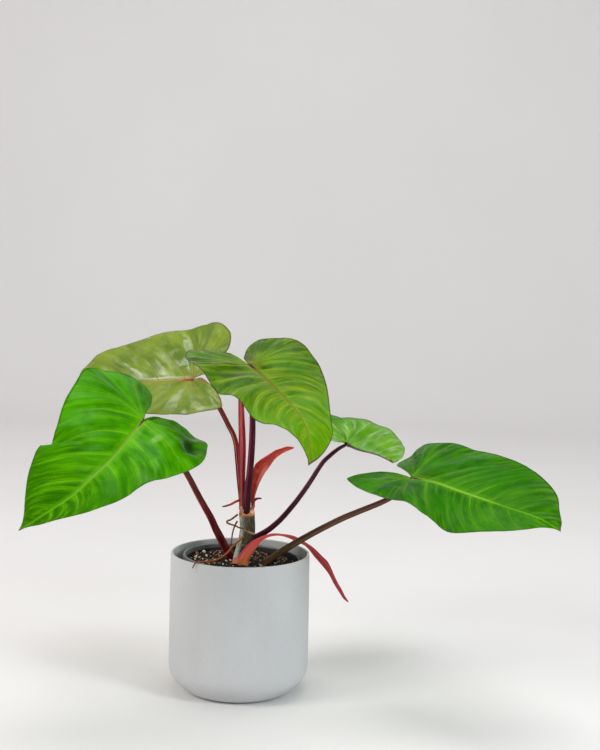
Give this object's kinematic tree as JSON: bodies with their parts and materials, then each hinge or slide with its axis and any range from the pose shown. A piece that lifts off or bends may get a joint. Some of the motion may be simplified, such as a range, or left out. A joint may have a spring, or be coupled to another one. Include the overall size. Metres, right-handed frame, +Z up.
{
  "type": "potted philodendron",
  "caption": "House plant with a short ringed stem, long red stalks and large glossy heart-shaped leaves, in a grower's pot inside a round pale cover pot.",
  "frame": {"origin": "centre of the cover pot's underside, on the surface it stands on", "axes": "+Z up along the cover pot's axis, +X to the right along the plant's widest spread, -Y towards the front, where the largest leaf hangs"},
  "size_m": [0.5869, 0.4808, 0.4417],
  "materials": {
    "cover_pot": "matte pale grey",
    "grower_pot": "black, slightly shiny",
    "potting_mix": "dark damp bark and peat with white grains",
    "stem": "grey-green, ringed",
    "leaf_stalk": "dark maroon, satin",
    "leaf_stalk_red": "dark red-brown, satin",
    "leaf_stalk_olive": "olive brown to purple, satin",
    "leaf_blade": "glossy green with paler veins",
    "young_leaf_blade": "glossy bronze-olive green",
    "new_leaf": "red, striped, satin",
    "bract": "red to salmon, satin",
    "aerial_root": "orange brown, rough",
    "root_bud": "red, satin"
  },
  "bodies": {
    "root": {"outer_pot": "cover_pot", "nursery_pot": "grower_pot", "potting_soil": "potting_mix", "main_stem": "stem", "petiole_front_left": "leaf_stalk", "petiole_back_left": "leaf_stalk_red", "petiole_centre": "leaf_stalk", "petiole_back_right": "leaf_stalk", "petiole_right": "leaf_stalk_olive", "leaf_front_left": "leaf_blade", "leaf_back_left": "young_leaf_blade", "leaf_centre": "leaf_blade", "leaf_back_right": "leaf_blade", "leaf_right": "leaf_blade", "new_leaf_spear": "new_leaf", "cataphyll_upper": "bract", "cataphyll_lower": "bract", "aerial_root_long": "aerial_root", "aerial_root_loop": "aerial_root", "aerial_root_thin": "aerial_root", "root_tip_left": "root_bud", "root_tip_right": "root_bud"}
  },
  "joints": []
}
